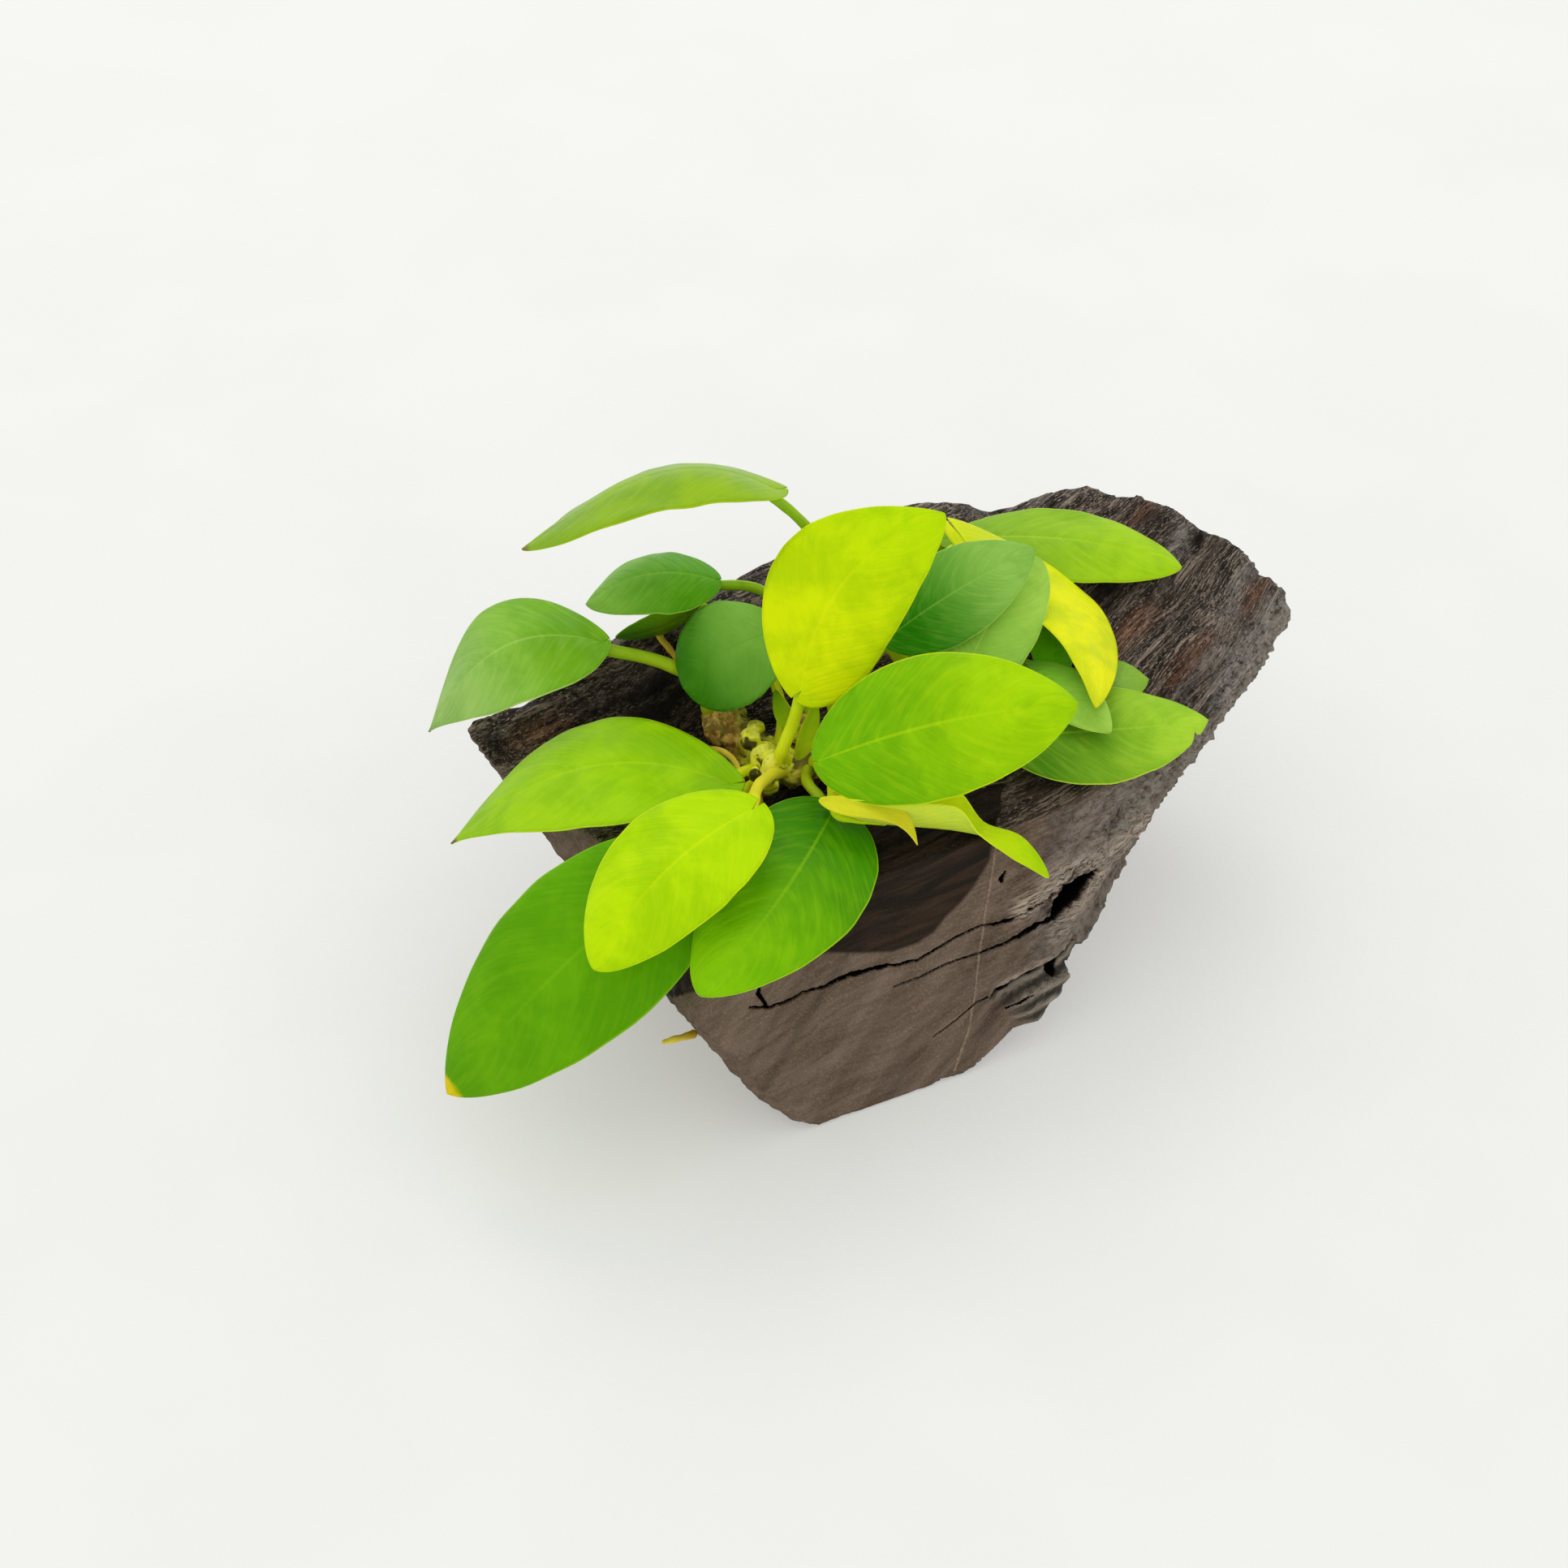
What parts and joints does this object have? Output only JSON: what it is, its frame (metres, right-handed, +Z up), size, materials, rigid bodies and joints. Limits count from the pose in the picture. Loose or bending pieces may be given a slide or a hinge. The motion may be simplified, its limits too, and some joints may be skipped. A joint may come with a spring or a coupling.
{
  "type": "anubias on driftwood",
  "caption": "Small broad-leaved water plant rooted by its creeping stem in the hollow of a split driftwood block; decorates the floor of an aquarium.",
  "frame": {"origin": "about the middle of the flat underside of the driftwood, on the surface that it stands on", "axes": "+Z up; +X along the longest side, towards the wood's high right end; +Y towards the wood's high back rim, so the sloping front face looks along -Y"},
  "size_m": [0.1524, 0.1213, 0.0924],
  "materials": {
    "driftwood": "wet, dark, worn driftwood with fibrous grain and cracks",
    "rhizome": "knobbly yellow-green and brown creeping stem",
    "root_loop": "smooth thin yellow-brown root",
    "root_back": "smooth thin yellow-brown root",
    "root_front": "smooth thin yellow-brown root",
    "root_right": "smooth thin yellow-brown root",
    "root_hanging": "smooth thin yellow-brown root",
    "sheath_upright": "thin, soft, half-clear leaf sheath",
    "sheath_behind": "thin, soft, half-clear leaf sheath",
    "sheath_yellow": "thin, soft, half-clear leaf sheath",
    "high_back_blade": "wet, waxy leaf blade with fine arched veins",
    "high_back_stalk": "smooth green leaf stalk",
    "left_small_blade": "wet, waxy leaf blade with fine arched veins",
    "left_small_stalk": "smooth green leaf stalk",
    "left_large_blade": "wet, waxy leaf blade with fine arched veins",
    "left_large_stalk": "smooth green leaf stalk",
    "left_shaded_blade": "wet, waxy leaf blade with fine arched veins",
    "left_shaded_stalk": "smooth green leaf stalk",
    "left_front_blade": "wet, waxy leaf blade with fine arched veins",
    "left_front_stalk": "smooth green leaf stalk",
    "low_left_blade": "wet, waxy leaf blade with fine arched veins",
    "low_left_stalk": "smooth green leaf stalk",
    "front_lime_blade": "wet, waxy leaf blade with fine arched veins",
    "front_lime_stalk": "smooth green leaf stalk",
    "front_centre_blade": "wet, waxy leaf blade with fine arched veins",
    "front_centre_stalk": "smooth green leaf stalk",
    "dark_by_lime_blade": "wet, waxy leaf blade with fine arched veins",
    "dark_by_lime_stalk": "smooth green leaf stalk",
    "lime_upright_blade": "wet, waxy leaf blade with fine arched veins",
    "lime_upright_stalk": "smooth green leaf stalk",
    "right_front_blade": "wet, waxy leaf blade with fine arched veins",
    "right_front_stalk": "smooth green leaf stalk",
    "young_curled_blade": "wet, waxy leaf blade with fine arched veins",
    "young_curled_stalk": "smooth green leaf stalk",
    "dark_upper_blade": "wet, waxy leaf blade with fine arched veins",
    "dark_upper_stalk": "smooth green leaf stalk",
    "dark_middle_blade": "wet, waxy leaf blade with fine arched veins",
    "dark_middle_stalk": "smooth green leaf stalk",
    "back_right_blade": "wet, waxy leaf blade with fine arched veins",
    "back_right_stalk": "smooth green leaf stalk",
    "yellow_hanging_blade": "wet, waxy leaf blade with fine arched veins",
    "yellow_hanging_stalk": "smooth green leaf stalk",
    "right_low_blade": "wet, waxy leaf blade with fine arched veins",
    "right_low_stalk": "smooth green leaf stalk",
    "narrow_right_blade": "wet, waxy leaf blade with fine arched veins",
    "narrow_right_stalk": "smooth green leaf stalk",
    "tip_right_blade": "wet, waxy leaf blade with fine arched veins",
    "tip_right_stalk": "smooth green leaf stalk",
    "dark_right_blade": "wet, waxy leaf blade with fine arched veins",
    "dark_right_stalk": "smooth green leaf stalk"
  },
  "bodies": {
    "root": {"driftwood": "driftwood", "rhizome": "rhizome", "root_loop": "root_loop", "root_back": "root_back", "root_front": "root_front", "root_right": "root_right", "root_hanging": "root_hanging", "sheath_upright": "sheath_upright", "sheath_behind": "sheath_behind", "sheath_yellow": "sheath_yellow", "high_back_blade": "high_back_blade", "high_back_stalk": "high_back_stalk", "left_small_blade": "left_small_blade", "left_small_stalk": "left_small_stalk", "left_large_blade": "left_large_blade", "left_large_stalk": "left_large_stalk", "left_shaded_blade": "left_shaded_blade", "left_shaded_stalk": "left_shaded_stalk", "left_front_blade": "left_front_blade", "left_front_stalk": "left_front_stalk", "low_left_blade": "low_left_blade", "low_left_stalk": "low_left_stalk", "front_lime_blade": "front_lime_blade", "front_lime_stalk": "front_lime_stalk", "front_centre_blade": "front_centre_blade", "front_centre_stalk": "front_centre_stalk", "dark_by_lime_blade": "dark_by_lime_blade", "dark_by_lime_stalk": "dark_by_lime_stalk", "lime_upright_blade": "lime_upright_blade", "lime_upright_stalk": "lime_upright_stalk", "right_front_blade": "right_front_blade", "right_front_stalk": "right_front_stalk", "young_curled_blade": "young_curled_blade", "young_curled_stalk": "young_curled_stalk", "dark_upper_blade": "dark_upper_blade", "dark_upper_stalk": "dark_upper_stalk", "dark_middle_blade": "dark_middle_blade", "dark_middle_stalk": "dark_middle_stalk", "back_right_blade": "back_right_blade", "back_right_stalk": "back_right_stalk", "yellow_hanging_blade": "yellow_hanging_blade", "yellow_hanging_stalk": "yellow_hanging_stalk", "right_low_blade": "right_low_blade", "right_low_stalk": "right_low_stalk", "narrow_right_blade": "narrow_right_blade", "narrow_right_stalk": "narrow_right_stalk", "tip_right_blade": "tip_right_blade", "tip_right_stalk": "tip_right_stalk", "dark_right_blade": "dark_right_blade", "dark_right_stalk": "dark_right_stalk"}
  },
  "joints": []
}
